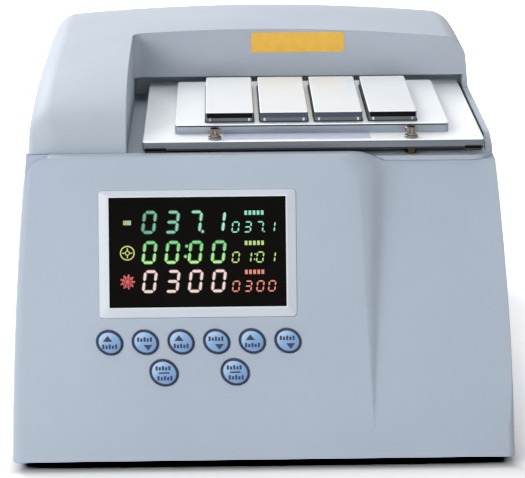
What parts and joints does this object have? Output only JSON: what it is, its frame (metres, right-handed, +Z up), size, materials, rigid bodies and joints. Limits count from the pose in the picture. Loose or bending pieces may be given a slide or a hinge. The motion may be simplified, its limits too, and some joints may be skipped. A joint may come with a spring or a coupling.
{
  "type": "hybridization station",
  "caption": "Bench slide hybridizer: sloping control panel with display and oval keys, C-shaped hood, and a heated orbiting stage with lift-off slide covers.",
  "frame": {"origin": "on the bench below the middle of the case, midway between its front and back", "axes": "+X to the user's right, +Y from the front panel to the back, +Z up"},
  "size_m": [0.245, 0.29, 0.182],
  "materials": {
    "housing": "fine moulded, pale blue-grey",
    "steel": "plated",
    "rubber": "matte",
    "window": "smoked, glossy",
    "board": "circuit board with parts",
    "black_plastic": "satin",
    "key": "satin, light blue",
    "aluminium": "machined",
    "polished": "polished",
    "brass": "turned",
    "heater": "silicone sheet",
    "foam": "closed-cell foam",
    "motor": "black",
    "rear_plate": "fine texture grey",
    "white_plastic": "nylon"
  },
  "bodies": {
    "base": {"lower_housing": "housing", "upper_hood": "housing", "base_plate": "steel", "feet": "rubber", "case_screws": "steel", "hood_screws": "steel", "display_bezel": "housing", "display_window": "window", "display_module": "board", "keypad_board": "board", "key_switches": "black_plastic", "panel_screws": "steel", "chassis_plate": "aluminium", "chassis_posts": "steel", "motor_body": "motor", "motor_screws": "steel", "idler_seat_bearings": "steel", "rear_panel": "rear_plate", "rear_screws": "steel", "power_inlet": "black_plastic", "inlet_pins": "steel", "switch_frame": "black_plastic", "fan_frame": "black_plastic", "fan_guard": "steel", "board_posts": "white_plastic", "power_supply": "board", "control_board": "board"},
    "crank": {"motor_shaft": "steel", "eccentric_shaft": "steel", "counterweight": "brass"},
    "stage": {"stage_plate": "aluminium", "slide_adapter": "aluminium", "adapter_pins": "steel", "clamp_screws": "polished", "clamp_nuts": "brass", "heater_mat": "heater", "insulation_pad": "foam", "temperature_probe": "steel", "stage_carrier": "aluminium", "carrier_standoffs": "aluminium", "drive_bearing": "steel", "idler_pin_bearings": "steel"},
    "idler_1": {"idler_crank_1": "steel"},
    "idler_2": {"idler_crank_2": "steel"},
    "idler_3": {"idler_crank_3": "steel"},
    "cover_1": {"slide_cover_1": "polished"},
    "cover_2": {"slide_cover_2": "polished"},
    "cover_3": {"slide_cover_3": "polished"},
    "cover_4": {"slide_cover_4": "polished"},
    "temp_up_key": {"key_temp_up": "key"},
    "temp_down_key": {"key_temp_down": "key"},
    "time_up_key": {"key_time_up": "key"},
    "time_down_key": {"key_time_down": "key"},
    "speed_up_key": {"key_speed_up": "key"},
    "speed_down_key": {"key_speed_down": "key"},
    "program_key": {"key_program": "key"},
    "start_key": {"key_start": "key"},
    "fuse_tray": {"fuse_drawer": "black_plastic"},
    "rocker": {"switch_rocker": "black_plastic"},
    "rotor": {"fan_rotor": "black_plastic"}
  },
  "joints": [
    {"name": "crank_spin", "type": "hinge", "parent": "base", "child": "crank", "pos_m": [0.02575, -0.02975, 0.0945], "axis": [0, 0, 1], "continuous": true},
    {"name": "stage_orbit", "type": "hinge", "parent": "crank", "child": "stage", "pos_m": [0.02675, -0.02975, 0.115], "axis": [0, 0, 1], "continuous": true},
    {"name": "idler_1_spin", "type": "hinge", "parent": "base", "child": "idler_1", "pos_m": [-0.02425, 0.00225, 0.092], "axis": [0, 0, 1], "continuous": true},
    {"name": "idler_2_spin", "type": "hinge", "parent": "base", "child": "idler_2", "pos_m": [0.07575, 0.00225, 0.092], "axis": [0, 0, 1], "continuous": true},
    {"name": "idler_3_spin", "type": "hinge", "parent": "base", "child": "idler_3", "pos_m": [0.02575, -0.07175, 0.092], "axis": [0, 0, 1], "continuous": true},
    {"name": "cover_1_lift", "type": "slide", "parent": "stage", "child": "cover_1", "axis": [0, 0, 1], "range_m": [0, 0.04]},
    {"name": "cover_2_lift", "type": "slide", "parent": "stage", "child": "cover_2", "axis": [0, 0, 1], "range_m": [0, 0.04]},
    {"name": "cover_3_lift", "type": "slide", "parent": "stage", "child": "cover_3", "axis": [0, 0, 1], "range_m": [0, 0.04]},
    {"name": "cover_4_lift", "type": "slide", "parent": "stage", "child": "cover_4", "axis": [0, 0, 1], "range_m": [0, 0.04]},
    {"name": "temp_up_press", "type": "slide", "parent": "base", "child": "temp_up_key", "axis": [0, 0.9483, -0.3173], "range_m": [0, 0.0008], "stiffness_N_per_m": 800, "springref_m": -0.0006},
    {"name": "temp_down_press", "type": "slide", "parent": "base", "child": "temp_down_key", "axis": [0, 0.9483, -0.3173], "range_m": [0, 0.0008], "stiffness_N_per_m": 800, "springref_m": -0.0006},
    {"name": "time_up_press", "type": "slide", "parent": "base", "child": "time_up_key", "axis": [0, 0.9483, -0.3173], "range_m": [0, 0.0008], "stiffness_N_per_m": 800, "springref_m": -0.0006},
    {"name": "time_down_press", "type": "slide", "parent": "base", "child": "time_down_key", "axis": [0, 0.9483, -0.3173], "range_m": [0, 0.0008], "stiffness_N_per_m": 800, "springref_m": -0.0006},
    {"name": "speed_up_press", "type": "slide", "parent": "base", "child": "speed_up_key", "axis": [0, 0.9483, -0.3173], "range_m": [0, 0.0008], "stiffness_N_per_m": 800, "springref_m": -0.0006},
    {"name": "speed_down_press", "type": "slide", "parent": "base", "child": "speed_down_key", "axis": [0, 0.9483, -0.3173], "range_m": [0, 0.0008], "stiffness_N_per_m": 800, "springref_m": -0.0006},
    {"name": "program_press", "type": "slide", "parent": "base", "child": "program_key", "axis": [0, 0.9483, -0.3173], "range_m": [0, 0.0008], "stiffness_N_per_m": 800, "springref_m": -0.0006},
    {"name": "start_press", "type": "slide", "parent": "base", "child": "start_key", "axis": [0, 0.9483, -0.3173], "range_m": [0, 0.0008], "stiffness_N_per_m": 800, "springref_m": -0.0006},
    {"name": "fuse_tray_slide", "type": "slide", "parent": "base", "child": "fuse_tray", "axis": [0, 1, 0], "range_m": [0, 0.012]},
    {"name": "rocker_tilt", "type": "hinge", "parent": "base", "child": "rocker", "pos_m": [-0.0055, 0.1375, 0.053], "axis": [1, 0, 0], "range_deg": [-18, 0]},
    {"name": "rotor_spin", "type": "hinge", "parent": "base", "child": "rotor", "pos_m": [0.052, 0.1325, 0.053], "axis": [0, 1, 0], "continuous": true}
  ],
  "couplings": [
    {"joint": "crank_spin", "follows": "stage_orbit", "ratio": -1},
    {"joint": "idler_1_spin", "follows": "stage_orbit", "ratio": -1},
    {"joint": "idler_2_spin", "follows": "stage_orbit", "ratio": -1},
    {"joint": "idler_3_spin", "follows": "stage_orbit", "ratio": -1}
  ]
}
